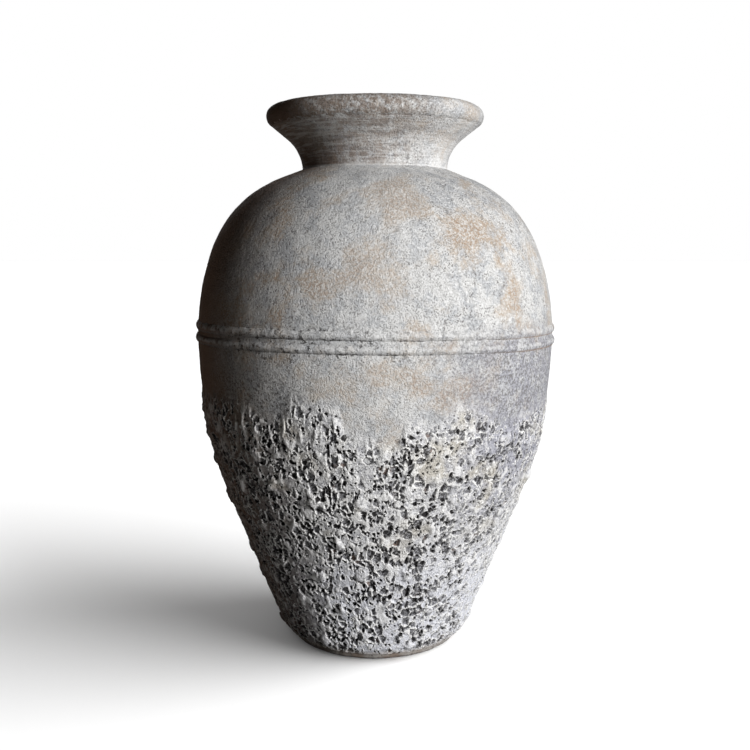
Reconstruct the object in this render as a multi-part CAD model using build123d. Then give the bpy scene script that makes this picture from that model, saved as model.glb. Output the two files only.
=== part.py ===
from build123d import *
import os
from math import atan2, cos, degrees, radians, tan, tau

# A storage jar of the pithos kind, made the way such jars are made: a floor disc, clay drums
# luted one on another at bevelled rims, a domed shoulder, a flared neck and a rolled lip, two
# clay cords laid over the belly joint, and a thick gritty coat trowelled over the lower half.
# Millimetres, Z up, standing on Z = 0 with the jar's axis on Z.

# Outer wall: its radius at the ground, at the belly and at the root of the neck, and how far
# its other points lie inside the belly or outside the neck
FOOT_RADIUS = 96.0
BELLY_RADIUS = 199.5
NECK_RADIUS = 80.7
TAPER_INSET = 36.5
HAUNCH_INSET = 18.3
SHOULDER_SPREAD = 27.1

# Heights of those points, each above the one before
TAPER_RISE = 165.0
BELLY_RISE = 182.5
HAUNCH_RISE = 99.2
SHOULDER_RISE = 75.3
NECK_RISE = 10.6

# Neck: the hollow curve above the shoulder, the brim that it runs out into, and the lip's roll
FLARE_RISE = 33.6
FLARE_SPREAD = 16.8
BRIM_RISE = 14.7
BRIM_SPREAD = 18.8
LIP_ROLL_RADIUS = 10.9

# Thickness of the clay
WALL = 14.0
NECK_WALL = 12.0
FLOOR = 16.0
FOOT_EDGE_ROUND = 4.0

# Joints of the drums, on the outside: two drum heights, then the belly joint just above the
# widest level, and the slope of every rim towards the inside. The next joint is at the haunch.
FOOT_DRUM_HEIGHT = 109.0
LOWER_DRUM_HEIGHT = 115.0
BELT_ABOVE_BELLY = 3.0
RIM_BEVEL = 20.0

# Belt: two cords of clay, sunk in all but their crowns, the lower one over the belly joint
CORD_RADIUS = 8.0
CORD_PROUD = 2.4
CORD_SPACING = 13.0

# Gritty coat: its thickness at three levels of the wall, and where it begins and ends
COAT_AT_FOOT = 6.6
COAT_AT_TAPER = 3.4
COAT_AT_BELLY = 1.6
COAT_ABOVE_GROUND = 9.0
COAT_BELOW_BELT = 40.5

# Daubs of the coat: lumps that were drawn out down the wall, in staggered rows that begin at one
# bearing and wander up and down by the cosine of a steady turn
DAUB_SPACING = 47.0
DAUB_ROW_RISE = 44.0
DAUB_BEARING = -4.8
DAUB_WANDER = 8.0
WANDER_TURN = 2.4
DAUB_LENGTH = 25.0
DAUB_WIDTH = 15.0
DAUB_PROUD = 2.4

# Bays where the coat's upper edge was left ragged: bearing from the front, half width and depth
FRONT_BEARING = -90.0
COAT_BAYS = [
    (-50, 52, 13),
    (-32, 15, 21),
    (-1, 29, 39),
    (15, 13, 29),
    (43, 30, 29),
    (62, 26, 24),
    (88, 34, 31),
    (112, 18, 20),
    (133, 30, 37),
    (160, 24, 25),
    (186, 38, 34),
    (214, 20, 27),
    (238, 30, 38),
    (262, 22, 21),
    (284, 26, 30),
]

belly_height = TAPER_RISE + BELLY_RISE
haunch_height = belly_height + HAUNCH_RISE
shoulder_height = haunch_height + SHOULDER_RISE
neck_height = shoulder_height + NECK_RISE
belt_height = belly_height + BELT_ABOVE_BELLY
throat_radius = NECK_RADIUS - NECK_WALL
beyond = 2 * BELLY_RADIUS


def arc_run(start, heading, points):
    """Arcs from point to point, each one leaving in the direction in which the last arrived."""
    arcs = []
    for point in points:
        arcs.append(TangentArc(start, point, tangent=heading))
        start, heading = arcs[-1] @ 1, arcs[-1] % 1
    return arcs


def beside(arc, distance):
    """The arc with the same centre that runs a distance to the left of this one."""
    ends = []
    for share in (0, 1):
        heading = arc % share
        ends.append(arc @ share + Vector(-heading.Y, heading.X) * distance)
    return TangentArc(ends, tangent=arc % 0)


def below_belly(foot, taper, belly):
    """The lower wall's arcs, from the belly, where it stands upright, down to the ground."""
    return arc_run((belly, belly_height), (0, -1), [(taper, TAPER_RISE), (foot, 0)])


def filled(arcs, *corners):
    """The flat face inside a run of arcs that is closed by straight lines through corners."""
    return make_face([*arcs, Polyline(arcs[-1] @ 1, *corners, arcs[0] @ 0)])


def across(height):
    """A level line over the whole half section, as its two ends."""
    return Vector(0, height), Vector(beyond, height)


def between(low_line, high_line):
    """The flat face between two lines that are given by their ends."""
    return make_face(Polyline(*low_line, *reversed(high_line), close=True))


def turned(section):
    """The solid of revolution that a half section makes around the jar's axis."""
    return revolve(Plane.XZ * section, Axis.Z)


# Half sections are drawn flat, with the radius along X and the height along Y
lower_arcs = below_belly(FOOT_RADIUS, BELLY_RADIUS - TAPER_INSET, BELLY_RADIUS)
upper_arcs = arc_run(
    (BELLY_RADIUS, belly_height),
    (0, 1),
    [
        (BELLY_RADIUS - HAUNCH_INSET, haunch_height),
        (NECK_RADIUS + SHOULDER_SPREAD, shoulder_height),
        (NECK_RADIUS, neck_height),
    ],
)
belly_axis = (0, belly_height)
body = filled(lower_arcs, (0, 0), belly_axis) + filled(upper_arcs, (0, neck_height), belly_axis)

# Hollow inside the drums, which keeps the wall's thickness and ends level under the throat
lower_inside = [beside(arc, -WALL) for arc in lower_arcs]
upper_inside = [beside(arc, WALL) for arc in upper_arcs]
throat_foot = (0, (upper_inside[-1] @ 1).Y)
hollow = filled(lower_inside, (0, 0), belly_axis) + filled(upper_inside, throat_foot, belly_axis)

# The shoulder runs on at its slope under the neck, as the seat that the neck stands on
neck_root = upper_arcs[-1] @ 1
slope = upper_arcs[-1] % 1
seat_top = neck_root - slope * (NECK_WALL / slope.X)
seat = make_face(Polyline(neck_root, seat_top, (throat_radius, neck_height), close=True))
throat = make_face(
    Polyline(*across(0), (beyond, seat_top.Y), seat_top, (throat_radius, 0), close=True)
)
wall = (body - hollow + seat) & throat


def edge_point(section, height):
    """The outermost point of a half section at a height."""
    level = section & Line(*across(height))
    return Vector(level.bounding_box().max.X, height)


def rim(height):
    """The joint line through the wall at a height, falling towards the axis, as its two ends."""
    place = edge_point(body, height)
    fall = Vector(1, tan(radians(RIM_BEVEL))) * place.X
    return place - fall, place + fall


pieces = {}

# Floor disc, with the edge that meets the ground rounded off
disc = turned(body & between(across(0), across(FLOOR)))
ground_edge = disc.edges().sort_by(Axis.Z)[0]
pieces["floor_disc"] = fillet(ground_edge, FOOT_EDGE_ROUND)

# Drums and shoulder, each standing on the rim of the one below
foot_drum_top = FLOOR + FOOT_DRUM_HEIGHT
joints = [
    across(FLOOR),
    rim(foot_drum_top),
    rim(foot_drum_top + LOWER_DRUM_HEIGHT),
    rim(belt_height),
    rim(haunch_height),
    across(seat_top.Y),
]
drum_names = ["foot_drum", "lower_drum", "belly_drum", "upper_drum", "shoulder_dome"]
for name, low_joint, high_joint in zip(drum_names, joints, joints[1:]):
    pieces[name] = turned(wall & between(low_joint, high_joint))

# Neck, which stands upright on the shoulder's seat and flares out to the lip
flare_end = neck_root + Vector(FLARE_SPREAD, FLARE_RISE)
brim_end = flare_end + Vector(BRIM_SPREAD, BRIM_RISE)
neck_outside = arc_run(neck_root, (0, 1), [flare_end, brim_end])
neck_inside = [beside(arc, NECK_WALL) for arc in neck_outside]
neck_ends = [Line(outer @ end, inner @ end) for outer, inner, end in (
    (neck_outside[0], neck_inside[0], 0),
    (neck_outside[1], neck_inside[1], 1),
)]
neck = make_face([*neck_outside, *neck_inside, *neck_ends]) - wall
pieces["neck_collar"] = turned(neck)

# Lip, a roll of clay pressed over the end of the neck so that its underside runs on smoothly
lip_centre = beside(neck_outside[1], LIP_ROLL_RADIUS) @ 1
pieces["lip_roll"] = turned(Pos(lip_centre) * Circle(LIP_ROLL_RADIUS) - neck)

# Belt cords, pressed against the wall, the upper one also against the lower where they would meet
belt = body
for name, height in (
    ("lower_belt_cord", belt_height),
    ("upper_belt_cord", belt_height + CORD_SPACING),
):
    cord_centre = edge_point(body, height) - Vector(CORD_RADIUS - CORD_PROUD, 0)
    cord = Pos(cord_centre) * Circle(CORD_RADIUS) - belt
    pieces[name] = turned(cord)
    belt += cord

# Gritty coat, thicker towards the foot, with its upper edge broken by bays
coat_outside = below_belly(
    FOOT_RADIUS + COAT_AT_FOOT,
    BELLY_RADIUS - TAPER_INSET + COAT_AT_TAPER,
    BELLY_RADIUS + COAT_AT_BELLY,
)
coat_top = belt_height - COAT_BELOW_BELT
coat_body = filled(coat_outside, (0, 0), belly_axis)
coat_levels = between(across(COAT_ABOVE_GROUND), across(coat_top))
coat = turned(coat_body & coat_levels)

# Each daub is an egg that leans with the wall and is sunk in it, all but its crown
egg_outline = EllipticalCenterArc(
    (0, 0), DAUB_WIDTH / 2, DAUB_LENGTH / 2, start_angle=-90, arc_size=180
)
egg = turned(filled([egg_outline]))
lowest_bay = max(depth for _, _, depth in COAT_BAYS)
first_row = COAT_ABOVE_GROUND + DAUB_LENGTH / 2 + DAUB_WANDER
last_row = coat_top - lowest_bay - DAUB_LENGTH / 2 - DAUB_WANDER
row_count = int((last_row - first_row) / DAUB_ROW_RISE) + 1
daubs = []
for row in range(row_count):
    row_height = first_row + row * DAUB_ROW_RISE
    daub_count = round(tau * edge_point(coat_body, row_height).X / DAUB_SPACING)
    for place in range(daub_count):
        height = row_height + DAUB_WANDER * cos(WANDER_TURN * place + row)
        bearing = FRONT_BEARING + DAUB_BEARING + 360 / daub_count * (place + row % 2 / 2)
        surface = edge_point(coat_body, height)
        climb = edge_point(coat_body, height + DAUB_PROUD) - surface
        lean = Rot(0, degrees(atan2(climb.X, climb.Y)), 0)
        sunk = surface.X + DAUB_PROUD - DAUB_WIDTH / 2
        daubs.append(Rot(0, 0, bearing) * Pos(sunk, 0, height) * lean * egg)
coat = coat.fuse(*daubs) - turned(belt)
for bearing, half_width, depth in COAT_BAYS:
    outward = Vector(1, 0, 0).rotate(Axis.Z, FRONT_BEARING + bearing)
    edge_plane = Plane((0, 0, coat_top), x_dir=outward.cross(Vector(0, 0, 1)), z_dir=outward)
    coat -= extrude(edge_plane * Ellipse(half_width, depth), beyond)
pieces["gritty_coat"] = coat

os.makedirs("parts", exist_ok=True)
for name, solid in pieces.items():
    export_step(solid, f"parts/{name}.step")
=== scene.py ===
from math import atan2, cos, pi, radians, sin, sqrt

import bpy
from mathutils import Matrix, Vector


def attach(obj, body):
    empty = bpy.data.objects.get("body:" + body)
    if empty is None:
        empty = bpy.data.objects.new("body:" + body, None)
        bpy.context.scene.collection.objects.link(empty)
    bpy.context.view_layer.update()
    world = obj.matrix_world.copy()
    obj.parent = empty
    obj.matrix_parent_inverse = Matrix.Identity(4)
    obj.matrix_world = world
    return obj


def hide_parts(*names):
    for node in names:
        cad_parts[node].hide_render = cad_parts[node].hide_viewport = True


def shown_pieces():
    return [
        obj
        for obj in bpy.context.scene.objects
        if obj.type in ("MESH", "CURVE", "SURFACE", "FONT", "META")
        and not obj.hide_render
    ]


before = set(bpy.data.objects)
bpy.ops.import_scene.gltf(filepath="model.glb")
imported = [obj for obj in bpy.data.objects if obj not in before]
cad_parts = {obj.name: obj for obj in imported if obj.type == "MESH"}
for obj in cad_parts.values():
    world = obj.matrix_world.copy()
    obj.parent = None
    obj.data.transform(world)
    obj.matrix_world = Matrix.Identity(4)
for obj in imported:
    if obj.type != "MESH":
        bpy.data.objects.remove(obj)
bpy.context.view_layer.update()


# Floor disc
# The flat base that the jar stands on: a slab of bare fired clay, beaten flat on a board, with its
# lower edge worn round. Only its edge shows, as a thin brown line under the coat.
class Strand:
    """A node's output. Arithmetic on it adds Math nodes, and add() adds any other node to its tree."""

    def __init__(self, tree, socket=None):
        self.tree = tree
        self.socket = socket

    def add(self, kind, inputs=None, output=0, stops=None, **settings):
        """Adds a node: its settings and a curve's stops first, then its sockets' values or links."""
        node = self.tree.nodes.new(kind)
        for name, value in settings.items():
            setattr(node, name, value)
        if stops:
            points = node.mapping.curves[0].points
            while len(points) < len(stops):
                points.new(0.5, 0.5)
            for point, stop in zip(points, sorted(stops)):
                point.location = stop
            node.mapping.update()
        for name, value in (inputs or {}).items():
            if isinstance(value, Strand):
                self.tree.links.new(value.socket, node.inputs[name])
            else:
                node.inputs[name].default_value = value
        return Strand(self.tree, node.outputs[output] if len(node.outputs) else None)

    def maths(self, operation, *values):
        return self.add("ShaderNodeMath", dict(enumerate(values)), operation=operation)

    def vector(self, operation, *values):
        return self.add("ShaderNodeVectorMath", dict(enumerate(values)), operation=operation)

    def __add__(self, other):
        return self.maths("ADD", self, other)

    def __sub__(self, other):
        return self.maths("SUBTRACT", self, other)

    def __rsub__(self, other):
        return self.maths("SUBTRACT", other, self)

    def __mul__(self, other):
        return self.maths("MULTIPLY", self, other)

    def __truediv__(self, other):
        return self.maths("DIVIDE", self, other)

    def __rtruediv__(self, other):
        return self.maths("DIVIDE", other, self)

    def __abs__(self):
        return self.maths("ABSOLUTE", self)

    __radd__ = __add__
    __rmul__ = __mul__

    def larger(self, other):
        return self.maths("MAXIMUM", self, other)

    def rise(self, low, high):
        """A smooth step from 0 to 1 as this value goes from low to high, which may be the lower one."""
        span = {"Value": self, "From Min": low, "From Max": high}
        return self.add("ShaderNodeMapRange", span, interpolation_type="SMOOTHSTEP")

    def part(self, axis):
        """One coordinate of a place, or one channel of a colour."""
        return self.add("ShaderNodeSeparateXYZ", {0: self}, output=axis)

    def times(self, x, y, z):
        return self.vector("MULTIPLY", self, (x, y, z))

    def scaled(self, share):
        return self.add("ShaderNodeVectorMath", {0: self, 3: share}, operation="SCALE")

    def plus(self, other):
        return self.vector("ADD", self, other)

    def unit(self):
        return self.vector("NORMALIZE", self)


def noise(place, size, detail=2.0, roughness=0.5, output="Fac"):
    """Soft noise from 0 to 1 whose patches are about this size."""
    sockets = {"Vector": place, "Scale": 1 / size, "Detail": detail, "Roughness": roughness}
    return place.add("ShaderNodeTexNoise", sockets, output=output)


def swing(place, size, reach, detail=2.0):
    """Noise that swings about zero by roughly this reach to either side."""
    return (noise(place, size, detail) - 0.5) * (4 * reach)


def outward_at(place):
    """The level direction away from the jar's axis."""
    return place.times(1, 1, 0).unit()


def blend(low, high, share):
    """Two colours, mixed by a share."""
    ends = [tint if isinstance(tint, Strand) else (*tint, 1) for tint in (low, high)]
    return share.add("ShaderNodeMix", {0: share, 6: ends[0], 7: ends[1]}, 2, data_type="RGBA")


MATT_SHEEN = 0.22


def finish_of(name, paint):
    """A matt clay finish. paint takes a place on the jar and gives colour, roughness and a fine relief."""
    material = bpy.data.materials.new(name)
    material.use_nodes = True
    shader = material.node_tree.nodes["Principled BSDF"]
    canvas = Strand(material.node_tree)
    tint, roughness, relief = paint(canvas.add("ShaderNodeTexCoord", output="Object"))
    bump = canvas.add("ShaderNodeBump", {"Height": relief, "Distance": 1.0, "Strength": 1.0})
    for socket, strand in (("Base Color", tint), ("Roughness", roughness), ("Normal", bump)):
        canvas.tree.links.new(strand.socket, shader.inputs[socket])
    shader.inputs["Specular IOR Level"].default_value = MATT_SHEEN
    return material


CLAY_BROWN = (0.25, 0.20, 0.165)
CLAY_GREY = (0.345, 0.325, 0.305)
CLAY_SOOT = (0.055, 0.045, 0.04)
CLAY_PATCH = 0.030
CLAY_GRIT = 0.0035


def bare_clay(place):
    patches = noise(place, CLAY_PATCH, 4, 0.6)
    grit = noise(place, CLAY_GRIT, 4, 0.65)
    tint = blend(CLAY_BROWN, CLAY_GREY, patches.rise(0.40, 0.62))
    tint = blend(tint, CLAY_SOOT, grit.rise(0.50, 0.72) * 0.75)
    return tint, grit * 0.1 + 0.8, grit * 0.0012


fired_clay = finish_of("fired_clay", bare_clay)


LEAST_TURN = 1e-5
SEED_SIZE = 0.001
MERGE_GAP = 1e-6


def arc_run(start, heading, end):
    """The centre of the arc that leaves start in a heading and reaches end, its turn and last heading."""
    side = Vector((-heading.y, heading.x))
    chord = end - start
    turn = 2 * atan2(chord.dot(side), chord.dot(heading))
    last = heading * cos(turn) + side * sin(turn)
    if abs(turn) < LEAST_TURN:
        return None, 0.0, last
    return start + side * (chord.length_squared / (2 * chord.dot(side))), turn, last


def merge_doubles():
    bpy.ops.mesh.select_all(action="SELECT")
    bpy.ops.mesh.remove_doubles(threshold=MERGE_GAP)


def turned(name, start, runs, steps):
    """Draws a closed half section of (radius, height) points and turns it round the jar's axis.
    A run is its end, its first heading where it is an arc, else None, and its count of rows."""
    bpy.ops.object.select_all(action="DESELECT")
    bpy.ops.mesh.primitive_plane_add(size=SEED_SIZE, location=(start[0], 0, start[1]))
    piece = bpy.context.object
    piece.name = piece.data.name = name
    bpy.ops.object.mode_set(mode="EDIT")
    bpy.ops.mesh.merge(type="CENTER")
    here = Vector(start)
    for end, heading, rows in runs:
        end = Vector(end)
        centre, turn, _ = arc_run(here, Vector(heading), end) if heading else (None, 0.0, None)
        if centre:
            bpy.ops.mesh.spin(steps=rows, angle=turn, center=(centre.x, 0, centre.y), axis=(0, 1, 0))
        else:
            step = (end - here) / rows
            for _ in range(rows):
                bpy.ops.mesh.extrude_vertices_move(TRANSFORM_OT_translate={"value": (step.x, 0, step.y)})
        here = end
    merge_doubles()
    bpy.ops.object.mode_set(mode="OBJECT")
    bpy.ops.object.transform_apply(location=True, rotation=False, scale=False)
    wheel = piece.modifiers.new("wheel", "SCREW")
    wheel.steps = wheel.render_steps = steps
    wheel.use_merge_vertices = True
    bpy.ops.object.modifier_apply(modifier=wheel.name)
    bpy.ops.object.mode_set(mode="EDIT")
    merge_doubles()
    bpy.ops.mesh.normals_make_consistent(inside=False)
    bpy.ops.object.mode_set(mode="OBJECT")
    return piece


SMOOTH_ANGLE = radians(50)


def sculpt(piece, relief_of, ring=None, sag_of=None):
    """Moves a turned piece's surface by its relief, away from the axis or from a ring inside the wall,
    and up or down by its sag, and leaves the relief's other shares on the mesh for the finish to read."""
    tree = bpy.data.node_groups.new(piece.name + "_relief", "GeometryNodeTree")
    for way in ("INPUT", "OUTPUT"):
        tree.interface.new_socket("Geometry", in_out=way, socket_type="NodeSocketGeometry")
    field = Strand(tree)
    place = field.add("GeometryNodeInputPosition")
    outward = outward_at(place)
    if ring:
        level = place.times(1, 1, 0)
        reach = field.add("ShaderNodeVectorMath", {0: level}, "Value", operation="LENGTH")
        lift = field.add("ShaderNodeCombineXYZ", {2: place.part("Z") - ring[1]})
        outward = lift.plus(outward.scaled(reach - ring[0])).unit()
    height, shares = relief_of(place)
    mesh = field.add("NodeGroupInput")
    for name, share in shares.items():
        left = {"Geometry": mesh, "Name": name, "Value": share}
        mesh = field.add("GeometryNodeStoreNamedAttribute", left)
    offset = outward.scaled(height)
    if sag_of:
        offset = offset.plus(field.add("ShaderNodeCombineXYZ", {2: sag_of(place)}))
    mesh = field.add("GeometryNodeSetPosition", {"Geometry": mesh, "Offset": offset})
    field.add("NodeGroupOutput", {0: mesh})
    modifier = piece.modifiers.new("relief", "NODES")
    modifier.node_group = tree
    bpy.ops.object.select_all(action="DESELECT")
    piece.select_set(True)
    bpy.context.view_layer.objects.active = piece
    bpy.ops.object.modifier_apply(modifier=modifier.name)
    bpy.ops.object.shade_smooth_by_angle(angle=SMOOTH_ANGLE)


def dress(piece, node, finish):
    """Gives a piece its finish and its place in the jar."""
    piece.data.materials.append(finish)
    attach(piece, "root")
    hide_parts(node)


FOOT_RADIUS = 0.096
FLOOR_THICK = 0.016
FLOOR_TOP_RADIUS = 0.1025
EDGE_ROUND = 0.004
EDGE_RADIUS = 0.0976
HUB_RADIUS = 0.004
FLOOR_STEPS = 480
FLAT_ROWS = 6
ROUND_ROWS = 8
SIDE_ROWS = 10

# Size, reach and, where it isn't the usual, detail of the floor's swings
BOARD_DENTS = (0.030, 0.0007, 3)
DISC_GRAIN = (0.006, 0.0003)


def floor_relief(place):
    return swing(place, *BOARD_DENTS) + swing(place, *DISC_GRAIN), {}


floor_disc = turned(
    "beaten_floor_disc",
    (HUB_RADIUS, 0.0),
    [
        ((FOOT_RADIUS - EDGE_ROUND, 0.0), None, FLAT_ROWS),
        ((EDGE_RADIUS, EDGE_ROUND), (1, 0), ROUND_ROWS),
        ((FLOOR_TOP_RADIUS, FLOOR_THICK), None, SIDE_ROWS),
        ((HUB_RADIUS, FLOOR_THICK), None, FLAT_ROWS),
        ((HUB_RADIUS, 0.0), None, 1),
    ],
    FLOOR_STEPS,
)
sculpt(floor_disc, floor_relief)
dress(floor_disc, "floor_disc", fired_clay)


# Foot drum and lower drum
# Two rings of fired clay that carry the belly. The coat covers them all round, so their solids stay
# as they are and only get the finish of bare clay, which shows inside the jar.
for name in ("foot_drum", "lower_drum"):
    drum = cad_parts[name]
    drum.data.materials.clear()
    drum.data.materials.append(fired_clay)


# Belly drum
# The widest ring, built up by hand and washed with lime: pale, worn down to tan clay in patches, and
# smooth under the belt. Its lower half goes into the coat.
WALL = 0.014
BELLY_RADIUS = 0.1995
BELLY_HEIGHT = 0.3475
TAPER_INSET = 0.0365
TAPER_HEIGHT = 0.165
HAUNCH_INSET = 0.0183
HAUNCH_HEIGHT = 0.4467
BELLY_DRUM_LOW = 0.240
BELT_HEIGHT = 0.3505
WALL_STEPS = 960
WALL_PITCH = 0.0015
INNER_PITCH = 0.012


def swell(belly, inset, end_height, height):
    """A point and heading of a wall, upright at the belly, that draws in by an inset up to an end."""
    reach = end_height - BELLY_HEIGHT
    bulge = (inset**2 + reach**2) / (2 * inset)
    rise = height - BELLY_HEIGHT
    level = sqrt(bulge**2 - rise**2)
    return Vector((belly - bulge + level, height)), Vector((-rise, level)) / bulge


def shell(name, start, heading, ends, wall, pitch, steps, inner_pitch=INNER_PITCH):
    """A ring whose outside runs through arcs from start to the ends and whose inside keeps the wall."""
    outer = [(Vector(start), Vector(heading))]
    for end in ends:
        outer.append((Vector(end), arc_run(*outer[-1], Vector(end))[2]))
    inner = [(point - Vector((way.y, -way.x)) * wall, -way) for point, way in reversed(outer)]
    runs = []
    for side, spacing in ((outer, pitch), (inner, inner_pitch)):
        for (first, way), (last, _) in zip(side, side[1:]):
            runs.append((last, way, max(2, round((last - first).length / spacing))))
        runs.append((inner[0][0] if side is outer else outer[0][0], None, 1))
    return turned(name, start, runs, steps)


def cells(place, size, output="Distance", feature="F1"):
    """Cells of about this size: how far a point lies from a cell's middle, or the cell's own value."""
    sockets = {"Vector": place, "Scale": 1 / size}
    return place.add("ShaderNodeTexVoronoi", sockets, output=output, feature=feature)


def stirred(place, size, reach):
    """A place moved about by noise, so that what is drawn on it loses its regular outline."""
    drift = noise(place, size, 3, output="Color")
    drift = drift.vector("SUBTRACT", drift, (0.5, 0.5, 0.5))
    return place.plus(drift.scaled(4 * reach))


def holes(place, size, fill, wall):
    """Holes of many widths, one to a cell at most. fill sets how wide they are and wall how steep."""
    width = (cells(place, size, "Color").part("X") + fill) * 0.5
    depth = width - cells(place, size)
    return depth.rise(0, wall), depth


# Size, reach and, where it isn't the usual, detail of the wall's swings, and its pits
WALL_SWAY = (0.150, 0.0009, 1)
PADDLE_DENTS = (0.032, 0.0004)
BRUSHED_GRAIN = (0.0050, 0.00010, 3)
FINE_GRAIN = (0.0026, 0.00014)
PIT_STIR = (0.006, 0.0012)
PIT_SPACING = 0.011
PIT_DEPTH = 0.0006


def wall_relief(place):
    """A hand-built wall: a slow sway, dents from the paddle, brushed grain and a few small pits."""
    form = swing(place, *WALL_SWAY) + swing(place, *PADDLE_DENTS)
    grain = swing(place, *BRUSHED_GRAIN) + swing(place, *FINE_GRAIN)
    pit, _ = holes(stirred(place, *PIT_STIR), PIT_SPACING, -0.72, 0.16)
    return form + grain - pit * PIT_DEPTH, {"pit": pit}


LIME_COOL = (0.402, 0.410, 0.424)
LIME_WARM = (0.560, 0.556, 0.548)
LIME_WHITE = (0.736, 0.737, 0.734)
LIME_SHADE = (0.166, 0.159, 0.154)
LIME_LAVENDER = (0.272, 0.274, 0.312)
CLAY_TAN = (0.465, 0.388, 0.308)
CLAY_RUST_AND_SHADE = (0.320, 0.225, 0.162)
# Browns for stain and painted shade on the left, and a near black for soot and painted shade
DEEP_STAIN_AND_SHADE = (0.195, 0.108, 0.066)
STAIN_AND_SHADE_BROWN = (0.100, 0.058, 0.036)
SOOT_AND_SHADE = (0.028, 0.025, 0.023)

# Sizes of what the lime shows, from its worn patches down to its dust
WORN_PATCH = 0.050
LIME_MOTTLE = 0.022
LIME_BLOTCH = 0.013
LIME_MARK = 0.0062
SOOT_MARK = 0.0050
LIME_GRAIN = 0.0030
LIME_SPECK = 0.0026
LIME_DUST = 0.0017
SOOT_HEIGHT = BELT_HEIGHT + 0.004

# Where the lime is worn most, as bearing, height and half spans of each
WORN_SPOTS = [
    (6, 0.494, 24, 0.026),
    (38, 0.462, 20, 0.046),
    (-14, 0.415, 12, 0.018),
    (6, 0.318, 10, 0.022),
    (24, 0.305, 14, 0.026),
    (-150, 0.450, 30, 0.050),
]


# Bearings between which the marks of one side fade out at the back
BESIDE = 125
BEHIND = 172


def bearing_of(place):
    """Angle round the axis in degrees: 0 at the front, growing to the right."""
    return place.maths("ARCTAN2", place.part("X"), place.part("Y") * -1) * (180 / pi)


def note(place, name):
    """A share that the relief left on the mesh."""
    return place.add("ShaderNodeAttribute", output="Fac", attribute_name=name)


def spot(bearing, height, middle, level, half_turn, half_rise):
    """A soft oval spot on the wall."""
    across = (bearing - middle) / half_turn
    upward = (height - level) / half_rise
    return (across * across + upward * upward).rise(1.0, 0.1)


def left_side(bearing, bare, full):
    """A share that grows towards the jar's left, from a bare bearing to a full one, and ends behind."""
    return bearing.rise(bare, full) * bearing.rise(-BEHIND, -BESIDE)


def right_side(bearing, bare, full):
    """A share that grows towards the jar's right and ends behind."""
    return bearing.rise(bare, full) * bearing.rise(BEHIND, BESIDE)


def limewash(place):
    """Lime brushed over tan clay: mottled, marked, worn in spots, sooty by the belt, with painted light
    at the front, stain and painted shade on the left, and its pits darkened brown.
    """
    height = place.part("Z")
    bearing = bearing_of(place)
    mottle = noise(place, LIME_MOTTLE, 6, 0.68)
    blotch = noise(place, LIME_BLOTCH, 4, 0.65)
    grain = noise(stirred(place, 0.005, 0.0007), LIME_GRAIN, 4, 0.72)
    dust = noise(place, LIME_DUST, 2, 0.6)
    tint = blend(LIME_COOL, LIME_WARM, mottle.rise(0.42, 0.56))
    tint = blend(tint, LIME_WHITE, grain.rise(0.48, 0.61) * (blotch.rise(0.40, 0.60) * 0.35 + 0.35))
    tint = blend(tint, LIME_SHADE, dust.rise(0.51, 0.65) * (blotch.rise(0.58, 0.42) * 0.60 + 0.38))
    marks = noise(stirred(place, 0.008, 0.0022), LIME_MARK, 3, 0.6)
    tint = blend(tint, LIME_SHADE, marks.rise(0.600, 0.680) * blotch.rise(0.60, 0.46) * 0.75)
    bare = noise(place, WORN_PATCH, 5, 0.68)
    for worn_spot in WORN_SPOTS:
        bare = bare + spot(bearing, height, *worn_spot) * 0.125
    tint = blend(tint, CLAY_TAN, bare.rise(0.48, 0.64) * (grain.rise(0.60, 0.42) * 0.50 + 0.32))
    tint = blend(tint, CLAY_RUST_AND_SHADE, bare.rise(0.55, 0.69) * grain.rise(0.52, 0.42) * 0.70)
    # Painted light: the front is made lighter with lime white.
    painted_front_light = bearing.rise(-30, -8) * bearing.rise(28, 6)
    tint = blend(tint, LIME_WHITE, painted_front_light * 0.20)
    low_right = right_side(bearing, 8, 44) * height.rise(0.380, 0.345)
    tint = blend(tint, LIME_LAVENDER, low_right * (blotch.rise(0.60, 0.44) * 0.45 + 0.40))
    specks = noise(place, LIME_SPECK, 3, 0.7)
    tint = blend(tint, LIME_WHITE, low_right * specks.rise(0.46, 0.38) * 0.30)
    tint = blend(tint, LIME_SHADE, low_right * specks.rise(0.50, 0.58) * 0.85)
    low_left = left_side(bearing, -12, -30) * height.rise(0.340, 0.312)
    tint = blend(tint, SOOT_AND_SHADE, low_left * specks.rise(0.51, 0.58) * 0.70)
    near_belt = abs(height - SOOT_HEIGHT).rise(0.030, 0.006)
    soot = near_belt * noise(place, SOOT_MARK, 3, 0.7).rise(0.56, 0.63)
    tint = blend(tint, SOOT_AND_SHADE, soot * (left_side(bearing, 30, -20) * 0.64 + 0.21))
    # Stain and painted shade: the left side darkened brown, and darker still further round.
    stain_and_shade_left = left_side(bearing, -18, -66)
    tint = blend(tint, STAIN_AND_SHADE_BROWN, stain_and_shade_left * (mottle.rise(0.2, 0.6) * 0.20 + 0.70))
    tint = blend(tint, DEEP_STAIN_AND_SHADE, left_side(bearing, -44, -68) * 0.80)
    # The wall's small pits are darkened brown.
    tint = blend(tint, STAIN_AND_SHADE_BROWN, note(place, "pit") * 0.75)
    return tint, grain * 0.12 + 0.8, grain * 0.0009 - dust.rise(0.45, 0.65) * 0.0004


limewashed_clay = finish_of("limewashed_clay", limewash)


def add_wall_ring(name, node, start, heading, ends, ring=None):
    piece = shell(name, start, heading, ends, WALL, WALL_PITCH, WALL_STEPS)
    sculpt(piece, wall_relief, ring)
    dress(piece, node, limewashed_clay)


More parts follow.
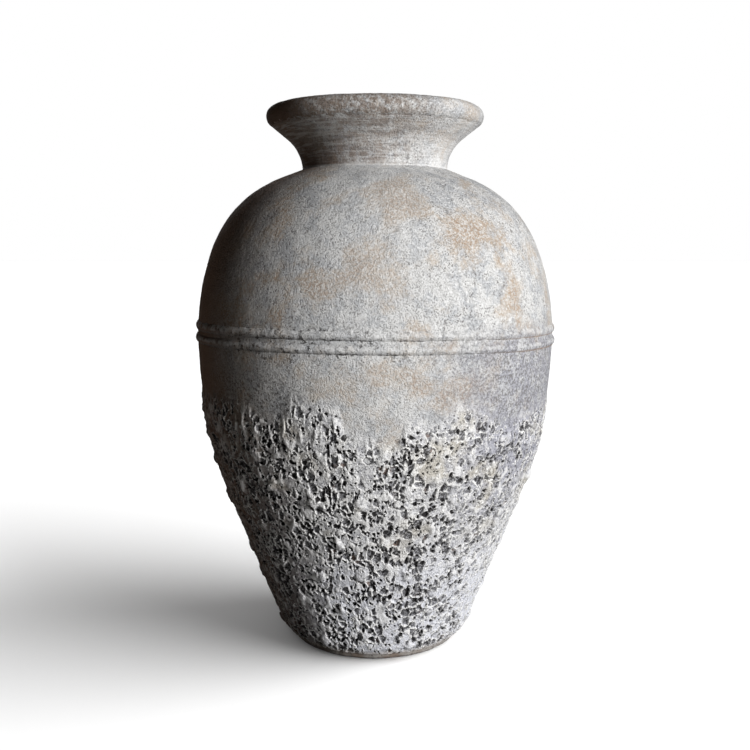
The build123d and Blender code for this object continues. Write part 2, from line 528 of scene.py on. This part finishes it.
low_point, low_heading = swell(BELLY_RADIUS, TAPER_INSET, TAPER_HEIGHT, BELLY_DRUM_LOW)
belt_point, belt_heading = swell(BELLY_RADIUS, HAUNCH_INSET, HAUNCH_HEIGHT, BELT_HEIGHT)
belly_point = (BELLY_RADIUS, BELLY_HEIGHT)
add_wall_ring("limewashed_belly_drum", "belly_drum", low_point, low_heading, [belly_point, belt_point])


# Upper drum and shoulder dome
# The ring above the belt and the dome that closes in to the neck, luted together at the haunch and
# smoothed over, so that the limewash hides the joint. Both take their relief from one ring inside.
SHOULDER_POINT = (0.1078, 0.5220)
NECK_ROOT = (0.0807, 0.5326)
SHOULDER_RING = (0.080, 0.420)

haunch_point, haunch_heading = swell(BELLY_RADIUS, HAUNCH_INSET, HAUNCH_HEIGHT, HAUNCH_HEIGHT)
add_wall_ring(
    "limewashed_upper_drum", "upper_drum", belt_point, belt_heading, [haunch_point], SHOULDER_RING
)
add_wall_ring(
    "limewashed_shoulder_dome",
    "shoulder_dome",
    haunch_point,
    haunch_heading,
    [SHOULDER_POINT, NECK_ROOT],
    SHOULDER_RING,
)


# Neck collar
# A separate ring, thrown and set on the shoulder's seat, then brushed round with lime while it
# turned: the strokes run level, and lime has gathered in the corner at its foot.
NECK_WALL = 0.012
NECK_SUNK = 0.001
NECK_PITCH = 0.0012
NECK_INNER_PITCH = 0.003
NECK_STEPS = 720
FLARE_POINT = (0.0975, 0.5662)
BRIM_POINT = (0.1163, 0.5809)
STROKE_WIDTH = 0.0021
STROKE_SQUEEZE = 0.06
STROKE_DEPTH = 0.0005
CREASE_GAP = 0.010
CREASE_DEPTH = 0.0009


def brush_strokes(place):
    drawn_out = place.times(STROKE_SQUEEZE, STROKE_SQUEEZE, 1)
    return noise(drawn_out, STROKE_WIDTH, 3, 0.62)


def crease(place):
    """The broken line where the lip's roll was pressed over the end of the neck."""
    below_brim = BRIM_POINT[1] - place.part("Z")
    return below_brim.rise(0.0038, 0.0008) * noise(place, CREASE_GAP, 3, 0.65).rise(0.40, 0.56)


def neck_relief(place):
    height, shares = wall_relief(place)
    strokes = (brush_strokes(place) - 0.5) * STROKE_DEPTH
    return height * 0.9 + strokes - crease(place) * CREASE_DEPTH, shares


NECK_BROWN = (0.250, 0.200, 0.165)
RUBBED_NECK = 0.010
SOOT_SPECK = 0.0022


def soot_specks(place):
    return noise(place, SOOT_SPECK, 3, 0.65).rise(0.54, 0.66)


def brushed_lime(place):
    """The limewash again, rubbed brown in places, with level strokes, a stain and painted shade low on the
    shaded side, painted shade in the crease under the lip and painted light on the right.
    """
    tint, roughness, relief = limewash(place)
    above_root = place.part("Z") - NECK_ROOT[1]
    bearing = bearing_of(place)
    strokes = brush_strokes(place)
    rubbed = noise(place, RUBBED_NECK, 5, 0.74).rise(0.36, 0.60)
    tint = blend(tint, NECK_BROWN, rubbed * (left_side(bearing, 45, 0) * 0.66 + 0.12))
    tint = blend(tint, SOOT_AND_SHADE, soot_specks(place) * (left_side(bearing, 45, 0) * 0.10 + 0.37))
    tint = blend(tint, LIME_SHADE, strokes.rise(0.48, 0.36) * 0.30)
    tint = blend(tint, LIME_WHITE, strokes.rise(0.50, 0.62) * 0.30)
    # Painted light: the right side is made lighter with lime white.
    tint = blend(tint, LIME_WHITE, right_side(bearing, 20, 55) * 0.32)
    # A stain and painted shade: the neck darkened brown low down on its left, by the corner at its foot.
    stain = above_root.rise(0.036, 0.004) * left_side(bearing, 12, -40)
    tint = blend(tint, STAIN_AND_SHADE_BROWN, stain * 0.52)
    tint = blend(tint, LIME_WHITE, above_root.rise(0.0030, 0.0) * 0.5)
    # Painted shade: the crease under the lip darkened brown, on the front and left.
    tint = blend(tint, STAIN_AND_SHADE_BROWN, crease(place) * left_side(bearing, 70, 20) * 0.65)
    return tint, roughness, relief + strokes * 0.0003


brushed_limewash = finish_of("brushed_limewash", brushed_lime)
neck_collar = shell(
    "brushed_neck_collar",
    (NECK_ROOT[0], NECK_ROOT[1] - NECK_SUNK),
    (0, 1),
    [FLARE_POINT, BRIM_POINT],
    NECK_WALL,
    NECK_PITCH,
    NECK_STEPS,
    NECK_INNER_PITCH,
)
sculpt(neck_collar, neck_relief)
dress(neck_collar, "neck_collar", brushed_limewash)


# Lip roll
# A coil of clay pressed over the end of the neck and rolled smooth, so that the flare runs on into
# its underside. Its upper edge is the part that hands and lids wear, so it shows the most clay.
LIP_RADIUS = 0.0109
LIP_ROWS = 28

flare_heading = arc_run(Vector(NECK_ROOT), Vector((0, 1)), Vector(FLARE_POINT))[2]
brim_heading = arc_run(Vector(FLARE_POINT), flare_heading, Vector(BRIM_POINT))[2]
under_lip = Vector(BRIM_POINT)
lip_centre = under_lip + Vector((-brim_heading.y, brim_heading.x)) * LIP_RADIUS
over_lip = lip_centre * 2 - under_lip
lip_roll = turned(
    "worn_lip_roll",
    under_lip,
    [(over_lip, brim_heading, LIP_ROWS), (under_lip, -brim_heading, LIP_ROWS)],
    NECK_STEPS,
)
sculpt(lip_roll, wall_relief, lip_centre)


LIP_BROWN = (0.190, 0.140, 0.105)
RUBBED_LIP = 0.0070


def worn_and_shaded_lime(place):
    """The limewash again, rubbed down to brown clay, most of all at the front and on the shaded side,
    with painted light on the right and a stain and painted shade on the left.
    """
    tint, roughness, relief = limewash(place)
    bearing = bearing_of(place)
    rubbed = noise(place, RUBBED_LIP, 5, 0.76).rise(0.36, 0.58)
    tint = blend(tint, LIP_BROWN, rubbed * (left_side(bearing, 45, 5) * 0.75 + 0.07))
    tint = blend(tint, SOOT_AND_SHADE, soot_specks(place) * (left_side(bearing, 45, 5) * 0.25 + 0.35))
    # Painted light: the right side is made lighter with lime white.
    tint = blend(tint, LIME_WHITE, right_side(bearing, 20, 50) * 0.15)
    # A stain and painted shade: the left side darkened brown.
    tint = blend(tint, STAIN_AND_SHADE_BROWN, left_side(bearing, -20, -60) * 0.92)
    return tint, roughness, relief


worn_and_shaded_limewash = finish_of("worn_and_shaded_limewash", worn_and_shaded_lime)
dress(lip_roll, "lip_roll", worn_and_shaded_limewash)


# Belt cords
# Two cords of clay laid by hand round the belly, the lower one over the joint, pressed on and smeared
# out above and below, then washed with the same lime. They waver a little and hold soot, and shade and
# highlights are painted on them.
CORD_PROUD = 0.0023
CORD_CROWN = 0.0044
CORD_SMEAR = 0.0090
CORD_SUNK = 0.0016
CORD_SPACING = 0.0130
CORD_FLANK_ROWS = 5
CORD_CROWN_ROWS = 12
CORD_UNDERSIDE = 0.0052
CORD_WAVE = 0.0023
CORD_TILT = 0.0018

# Size, reach and, where it isn't the usual, detail of the cords' swings
CORD_WAVER = (0.060, 0.0004, 1)
FINGER_DENTS = (0.020, 0.0004)
CORD_GRAIN = (0.006, 0.0003)


def cord_relief(place):
    height, shares = wall_relief(place)
    return height + swing(place, *FINGER_DENTS) + swing(place, *CORD_GRAIN), shares


def cord_sag(place):
    """The cords were laid by eye: they rise a little at the front and back and dip on the right."""
    turn = bearing_of(place) * (pi / 180)
    wave = turn.maths("COSINE", turn * 2) * CORD_WAVE - turn.maths("SINE", turn) * CORD_TILT
    return wave + swing(place, *CORD_WAVER)


CORD_RUB = 0.009
CORD_SOOT = 0.0050


def soot_and_shade_lime(place):
    """The limewash again, with soot and painted shade in broken lines under each cord and over the upper
    one, rust and painted shade under them on the right, and wear and a painted highlight on the crowns.
    """
    tint, roughness, relief = limewash(place)
    bearing = bearing_of(place)
    above = place.part("Z") - cord_sag(place) - (BELT_HEIGHT - CORD_UNDERSIDE)
    lower = abs(above)
    upper = abs(above - CORD_SPACING)
    top = abs(above - (CORD_SPACING + 2 * CORD_UNDERSIDE))
    nearest = lower.maths("MINIMUM", lower, upper)
    under = nearest.rise(0.0030, 0.0006)
    # Wear and a painted highlight: lime white on the cords' crowns and upper flanks.
    worn = noise(place, CORD_RUB, 4, 0.7).rise(0.42, 0.56)
    tint = blend(tint, LIME_WHITE, nearest.rise(0.0035, 0.0060) * worn * 0.4)
    # Painted shade in the creases under the cords, heavier to the left.
    soot_and_shade_left = left_side(bearing, 40, -20)
    tint = blend(tint, LIME_SHADE, nearest.rise(0.0050, 0.0010) * soot_and_shade_left * 0.45)
    # Rust and painted shade: a brown line under each cord on the right.
    tint = blend(tint, CLAY_RUST_AND_SHADE, under * right_side(bearing, 25, 60) * 0.7)
    # Soot and painted shade: a broken dark line in the crease over the upper cord, heavier to the left.
    broken = noise(place, CORD_SOOT, 4, 0.7)
    tint = blend(tint, SOOT_AND_SHADE, top.rise(0.0032, 0.0006) * broken.rise(0.50, 0.60) * soot_and_shade_left * 0.7)
    # Soot and painted shade: broken dark lines in the creases under the cords, on the front and left.
    soot_and_shade_under = under * broken.rise(0.45, 0.60) * left_side(bearing, 58, 0)
    return blend(tint, SOOT_AND_SHADE, soot_and_shade_under * 0.75), roughness, relief


soot_and_shade_limewash = finish_of("soot_and_shade_limewash", soot_and_shade_lime)

for name, level in (("lower", BELT_HEIGHT), ("upper", BELT_HEIGHT + CORD_SPACING)):
    wall = swell(BELLY_RADIUS, HAUNCH_INSET, HAUNCH_HEIGHT, level)[0].x
    foot = (wall - CORD_SUNK, level - CORD_SMEAR)
    half_way = wall - CORD_SUNK + (CORD_PROUD + CORD_SUNK) / 2
    flank = arc_run(Vector(foot), Vector((0, 1)), Vector((half_way, level - CORD_CROWN)))[2]
    head = (wall - CORD_SUNK, level + CORD_SMEAR)
    cord = turned(
        name + "_clay_cord",
        foot,
        [
            ((half_way, level - CORD_CROWN), (0, 1), CORD_FLANK_ROWS),
            ((half_way, level + CORD_CROWN), flank, CORD_CROWN_ROWS),
            (head, (-flank.x, flank.y), CORD_FLANK_ROWS),
            (foot, None, 1),
        ],
        WALL_STEPS,
    )
    sculpt(cord, cord_relief, sag_of=cord_sag)
    dress(cord, name + "_belt_cord", soot_and_shade_limewash)


# Gritty coat
# A thick slip full of grit and burnt-out straw, daubed over the lower half by the handful: a crust of
# pale rims round charcoal pits, with drips and lumps, ragged at the top. Made in bands, one above another.
# The pits' charcoal is partly painted shade, and the left is darkened brown with stain and painted shade.
COAT_FOOT = (0.1026, 0.0)
COAT_BELLY = 0.2011
COAT_TAPER_INSET = 0.0347
COAT_LOW = 0.009
COAT_TOP = 0.318
COAT_SHELL = 0.008
COAT_STEPS = 1280
COAT_PITCH = 0.00095
COAT_INNER_PITCH = 0.025
COAT_BANDS = 6

# How far the coat's edge hangs below its highest tongue, by bearing: the front as it shows, the rest alike
EDGE_HIGH = 0.313
EDGE_SPAN = 0.050
EDGE_DROPS = [
    (-180, 0.014), (-164, 0.032), (-148, 0.008), (-130, 0.026), (-112, 0.010), (-92, 0.018),
    (-73, 0.013), (-54, 0.013), (-40, 0.016), (-32, 0.021), (-25, 0.006), (-18, 0.002),
    (-11, 0.007), (-8, 0.034), (-1, 0.041), (5, 0.044), (8, 0.030), (12, 0.021),
    (15, 0.030), (22, 0.012), (29, 0.008), (33, 0.013), (41, 0.030), (56, 0.026),
    (75, 0.021), (96, 0.034), (118, 0.010), (138, 0.030), (158, 0.012), (180, 0.014),
]


def coat_radius(height):
    """A point of the coat's outside at a height, and its heading there."""
    taper, heading = swell(COAT_BELLY, COAT_TAPER_INSET, TAPER_HEIGHT, max(height, TAPER_HEIGHT))
    if height >= TAPER_HEIGHT:
        return taper, heading
    slope = taper - Vector(COAT_FOOT)
    return Vector(COAT_FOOT) + slope * (height / TAPER_HEIGHT), slope.normalized()


RAY_REACH = 0.012
LUMP_PULL = (0.013, 0.022)


def lump_lift(place):
    """How far the solid's lumps stand out of the plain coat, with their outlines pulled about by noise."""
    pulled = {"Vector": place, "Angle": swing(place, *LUMP_PULL)}
    place = place.add("ShaderNodeVectorRotate", pulled, rotation_type="Z_AXIS")
    outward = outward_at(place)
    ray = {
        "Target Geometry": place.add(
            "GeometryNodeObjectInfo", {"Object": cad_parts["gritty_coat"]}, "Geometry"
        ),
        "Source Position": place.plus(outward.scaled(RAY_REACH)),
        "Ray Direction": outward.scaled(-1),
        "Ray Length": RAY_REACH,
    }
    lift = RAY_REACH - place.add("GeometryNodeRaycast", ray, "Hit Distance")
    return lift * lift.maths("LESS_THAN", lift, COAT_SHELL / 2)


def fine_side(bearing):
    """The side on the right where the coat is thinner and its pits are finer."""
    return right_side(bearing, 12, 44)


CREAM_SPOT = (24, 0.245, 14, 0.060)
BUBBLE = 0.0080
PORE = 0.0056
PIN_HOLE = 0.0036

# The coat's radius as a curve of height that starts at its foot, and the share that height counts for
RADIUS_GROWTH = 0.48
RADIUS_BEND = -0.57
HEIGHT_SHARE = 0.80
BROAD_STIR = (0.014, 0.0020)
SMALL_STIR = (0.0050, 0.0010)


def crust(place, sparse):
    """The sponge, drawn straight through the coat: its burst bubbles, dark holes and pale thin rims."""
    height = place.part("Z")
    reach = height * (height * RADIUS_BEND + RADIUS_GROWTH) + COAT_FOOT[0]
    wall = outward_at(place).scaled(reach)
    wall = wall.plus(place.add("ShaderNodeCombineXYZ", {2: height * HEIGHT_SHARE}))
    wall = stirred(stirred(wall, *BROAD_STIR), *SMALL_STIR)
    burst = (cells(wall, BUBBLE, "Color").part("X") + sparse).rise(0.56, 0.44)
    inward = cells(wall, BUBBLE, feature="DISTANCE_TO_EDGE")
    bubble = inward.rise(0.05, 0.18) * burst
    pore, pore_depth = holes(wall, PORE, sparse * -1 + 0.06, 0.14)
    pin, _ = holes(wall, PIN_HOLE, sparse * -0.8 + 0.02, 0.14)
    dark = pore.larger(pin)
    rims = (inward.rise(0.15, 0.05) * burst).larger(pore_depth.rise(-0.20, -0.05) * 0.8)
    return bubble, dark, rims * (1 - bubble) * (1 - dark)


# Size, reach and, where it isn't the usual, detail of the coat's swings
COAT_SWAY = (0.040, 0.0008)
COAT_DENTS = (0.0085, 0.0004)
EDGE_RAGS = (0.012, 0.0045, 3)
FOOT_FRAY = (0.009, 0.0020)

# Plain coat's thickness, the larger of two lines, each as its value at the ground and gain with height
LOW_COVER = (0.0062, -0.0194)
HIGH_COVER = (0.0046, -0.0099)
COVER_LEAST = 0.0003
BELLY_SWELL = 0.0006
EDGE_SUNK = 0.0030

DRIP_WIDTH = 0.0075
BLOB_WIDTH = 0.011
CRUST_PATCH = 0.030
DRIP_PROUD = 0.0016
BLOB_PROUD = 0.0010
RIM_PROUD = 0.0006
HOLE_DEPTH = 0.0022
FOOT_HOLE_EXTRA = 0.0012


def frayed_height(place):
    """Height, swung a little, so that the coat's foot doesn't end in a level line."""
    return place.part("Z") + swing(place, *FOOT_FRAY)


def coat_relief(place):
    """The crust over the drums: lumps, drips, a sponge of bubbles and pin holes, an edge that thins out."""
    height = place.part("Z")
    bearing = bearing_of(place)
    lift = lump_lift(place)
    soft = stirred(place, 0.012, 0.0015)
    drip = noise(soft.times(1, 1, 0.22), DRIP_WIDTH, 1).rise(0.56, 0.68)
    drip = drip * height.rise(0.225, 0.275) * (1 - fine_side(bearing) * 0.6)
    blob = noise(soft.times(1, 1, 0.7), BLOB_WIDTH, 1).rise(0.60, 0.70)
    bulk = (drip * 0.8).larger(blob).larger(lift.rise(0.0004, 0.0022) * 0.5)

    drops = bearing.add(
        "ShaderNodeFloatCurve",
        {"Value": bearing / 360 + 0.5},
        stops=[(angle / 360 + 0.5, drop / EDGE_SPAN) for angle, drop in EDGE_DROPS],
    )
    ragged = height + drops * EDGE_SPAN + swing(place, *EDGE_RAGS)
    crusted = ragged.rise(EDGE_HIGH + 0.006, EDGE_HIGH - 0.020)
    thinned = ragged.rise(EDGE_HIGH - 0.028, EDGE_HIGH + 0.003)
    buried = ragged.rise(EDGE_HIGH - 0.002, EDGE_HIGH + 0.012)

    sparse = (noise(place, CRUST_PATCH) - 0.5) * 1.1 + spot(bearing, height, *CREAM_SPOT) * 0.20
    sparse = sparse + bulk * 0.6 + thinned * 0.35 + fine_side(bearing) * height.rise(0.080, 0.200) * 0.10
    sparse = sparse + ragged.rise(EDGE_HIGH - 0.004, EDGE_HIGH + 0.006) * 1.2
    bubble, dark, rims = crust(place, sparse)
    pit = dark.larger(bubble * 0.7)

    low_cover, high_cover = (height * gain + ground for ground, gain in (LOW_COVER, HIGH_COVER))
    cover = low_cover.larger(high_cover)
    form = swing(place, *COAT_SWAY) + swing(place, *COAT_DENTS) + height.rise(0.16, 0.26) * BELLY_SWELL
    depth = height.rise(0.300, 0.100) * FOOT_HOLE_EXTRA + HOLE_DEPTH
    daubed = (drip * DRIP_PROUD + blob * BLOB_PROUD) * crusted
    over = cover + form + lift + daubed + rims * RIM_PROUD - pit * depth
    over = over.larger(COVER_LEAST) * (1 - thinned) - buried * EDGE_SUNK
    over = over * (frayed_height(place).rise(COAT_LOW - 0.001, COAT_LOW + 0.010) * 0.60 + 0.40)
    drum = wall_relief(place)[0] * height.rise(0.240, 0.262)
    return drum + over - cover, {"sparse": sparse, "bulk": bulk, "crusted": crusted}


COAT_WHITE = (0.880, 0.872, 0.855)
COAT_FROST = (0.735, 0.748, 0.810)
COAT_PALE = (0.720, 0.718, 0.722)
COAT_GREY = (0.400, 0.400, 0.422)
COAT_LAVENDER = (0.330, 0.332, 0.385)
COAT_CREAM = (0.520, 0.487, 0.420)
# The charcoal also stands for painted shade in the holes, and the black is painted shade on the left
COAT_CHAR_AND_SHADE = (0.030, 0.028, 0.029)
COAT_SHADE_BLACK = (0.007, 0.006, 0.005)
COAT_RUST = (0.150, 0.075, 0.040)

# Sizes of what the coat shows, from its cream patches down to its dust
CREAM_PATCH = 0.050
RUST_PATCH = 0.018
COAT_FLECK = 0.0030
COAT_GRAIN = 0.0029
COAT_SPECKLE = 0.0021
COAT_DUST = 0.0016


def gritty_slip(place):
    """White rims and lumps, grey crust, speckled bubbles and charcoal pin holes that are partly painted
    shade, with a stain and painted shade on the left.
    """
    height = place.part("Z")
    bearing = bearing_of(place)
    bulk = note(place, "bulk")
    bubble, dark, rims = crust(place, note(place, "sparse"))
    patches = noise(place, CREAM_PATCH, 4, 0.6) + spot(bearing, height, *CREAM_SPOT) * 0.12
    fine = noise(place, COAT_GRAIN, 3, 0.6)
    dust = noise(place, COAT_DUST)
    tint = blend(COAT_GREY, COAT_PALE, fine.rise(0.38, 0.54))
    tint = blend(tint, COAT_LAVENDER, fine_side(bearing) * height.rise(0.100, 0.240) * 0.85)
    tint = blend(tint, COAT_CREAM, patches.rise(0.52, 0.66) * 0.8)
    tint = blend(tint, COAT_FROST, height.rise(0.190, 0.060) * 0.85)
    tint = blend(tint, COAT_WHITE, (rims * 0.9).larger(bulk * 0.6))
    tint = blend(tint, COAT_CHAR_AND_SHADE, dust.rise(0.55, 0.66) * (1 - bulk * 0.7) * 0.6)
    flecks = noise(place.times(1, 1, 0.7), COAT_FLECK, 3, 0.65).rise(0.53, 0.61)
    flecks = flecks * height.rise(0.090, 0.200) * fine_side(bearing)
    tint = blend(tint, COAT_CHAR_AND_SHADE, flecks * (1 - bulk) * 0.65)
    # Stain and painted shade: the coat darkened brown on its left, less on rims and lumps, darker further
    # round.
    coat_stain_and_shade = left_side(bearing, -14, -52)
    tint = blend(tint, STAIN_AND_SHADE_BROWN, coat_stain_and_shade * (1 - rims.larger(bulk) * 0.85) * 0.88)
    tint = blend(tint, DEEP_STAIN_AND_SHADE, left_side(bearing, -44, -68) * 0.60)
    speckle = blend(COAT_CHAR_AND_SHADE, COAT_GREY, noise(place, COAT_SPECKLE, 2, 0.6).rise(0.43, 0.58) * 0.85)
    speckle = blend(speckle, COAT_RUST, noise(place, RUST_PATCH).rise(0.62, 0.72) * 0.8)
    # Painted shade: the bubbles' floors blacker on the left.
    speckle = blend(speckle, COAT_SHADE_BLACK, coat_stain_and_shade * 0.6)
    tint = blend(tint, speckle, bubble * 0.9)
    # Charcoal and painted shade in the holes, and blacker on the left as painted shade.
    tint = blend(tint, COAT_CHAR_AND_SHADE, dark)
    tint = blend(tint, COAT_SHADE_BLACK, dark * left_side(bearing, -8, -40))
    smooth, roughness, relief = limewash(place)
    tint = blend(smooth, tint, note(place, "crusted"))
    scuffed = frayed_height(place).rise(COAT_LOW + 0.006, COAT_LOW)
    tint = blend(tint, CLAY_TAN, scuffed * 0.40)
    return tint, roughness, relief + fine * 0.0006


gritty_crust = finish_of("gritty_crust", gritty_slip)
band_heights = [COAT_LOW + (COAT_TOP - COAT_LOW) * count / COAT_BANDS for count in range(COAT_BANDS + 1)]
for count, (low, high) in enumerate(zip(band_heights, band_heights[1:]), 1):
    start, heading = coat_radius(low)
    band = shell(
        f"gritty_coat_band_{count}",
        start,
        heading,
        [coat_radius(high)[0]],
        COAT_SHELL,
        COAT_PITCH,
        COAT_STEPS,
        COAT_INNER_PITCH,
    )
    sculpt(band, coat_relief)
    dress(band, "gritty_coat", gritty_crust)


# Setting
# Three lamps light only the jar, the strongest from the front right. Two soft suns light only the white
# floor: a low one on the right, for the jar's shadow, and one overhead. The camera is above the belt.
FLOOR_SIDE = 40.0
FLOOR_SEEN = (0.92, 0.92, 0.92)
FLOOR_BOUNCE = (0.17, 0.167, 0.162)
SKY_SEEN = (1, 1, 1)
SKY_GLOW = (0.006, 0.005, 0.004)
AIM_HEIGHT = 0.30
CAMERA_PLACE = Vector((0.0, -1.080, 0.4536))
CAMERA_AIM = Vector((0.0001, 0.0, 0.3015))
LENS = 45.4

# Name, bearing, lift, distance, size and power of each lamp
LAMPS = [
    ("front_lamp", 45, 15, 2.4, 0.8, 78),
    ("side_lamp", 80, 18, 2.0, 0.9, 4),
    ("back_lamp", 190, 20, 2.0, 1.2, 14),
]

# Name, bearing, lift, softness and strength of each sun
SUN_DISTANCE = 2.0
SUNS = [
    ("floor_sun", 78, 23, 67, 7.0),
    ("floor_sky", 0, 90, 160, 1.1),
]

jar_collection = bpy.data.collections.new("jar_only")
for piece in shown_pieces():
    jar_collection.objects.link(piece)

bpy.ops.object.select_all(action="DESELECT")
bpy.ops.mesh.primitive_plane_add(size=FLOOR_SIDE, location=(0, 0, 0))
floor = bpy.context.object
floor.name = "floor"
floor_collection = bpy.data.collections.new("floor_only")
floor_collection.objects.link(floor)

paper = bpy.data.materials.new("white_floor")
paper.use_nodes = True
paper.node_tree.nodes.clear()
sheet = Strand(paper.node_tree)
seen = sheet.add("ShaderNodeLightPath", output="Is Camera Ray")
matt = sheet.add("ShaderNodeBsdfDiffuse", {"Color": blend(FLOOR_BOUNCE, FLOOR_SEEN, seen)})
sheet.add("ShaderNodeOutputMaterial", {"Surface": matt})
floor.data.materials.append(paper)


def add_lamp(name, kind, bearing, lift, distance, receivers):
    """A lamp that faces the jar and lights only what is in a collection."""
    lamp = bpy.data.objects.new(name, bpy.data.lights.new(name, kind))
    bpy.context.scene.collection.objects.link(lamp)
    turn = radians(bearing)
    rise = radians(lift)
    way = Vector((sin(turn) * cos(rise), -cos(turn) * cos(rise), sin(rise)))
    lamp.location = way * distance + Vector((0, 0, AIM_HEIGHT))
    lamp.rotation_euler = way.to_track_quat("Z", "Y").to_euler()
    lamp.light_linking.receiver_collection = receivers
    return lamp.data


for name, bearing, lift, distance, size, power in LAMPS:
    light = add_lamp(name, "AREA", bearing, lift, distance, jar_collection)
    light.size = size
    light.energy = power
for name, bearing, lift, softness, strength in SUNS:
    light = add_lamp(name, "SUN", bearing, lift, SUN_DISTANCE, floor_collection)
    light.angle = radians(softness)
    light.energy = strength

world = bpy.data.worlds.new("studio")
bpy.context.scene.world = world
world.use_nodes = True
world.node_tree.nodes.clear()
sky = Strand(world.node_tree)
seen = sky.add("ShaderNodeLightPath", output="Is Camera Ray")
backdrop = sky.add("ShaderNodeBackground", {"Color": blend(SKY_GLOW, SKY_SEEN, seen)})
sky.add("ShaderNodeOutputWorld", {"Surface": backdrop})
bpy.context.scene.view_settings.view_transform = "Standard"

camera = bpy.data.objects.new("camera", bpy.data.cameras.new("camera"))
bpy.context.scene.collection.objects.link(camera)
camera.data.lens = LENS
camera.location = CAMERA_PLACE
camera.rotation_euler = (CAMERA_AIM - CAMERA_PLACE).to_track_quat("-Z", "Y").to_euler()
bpy.context.scene.camera = camera
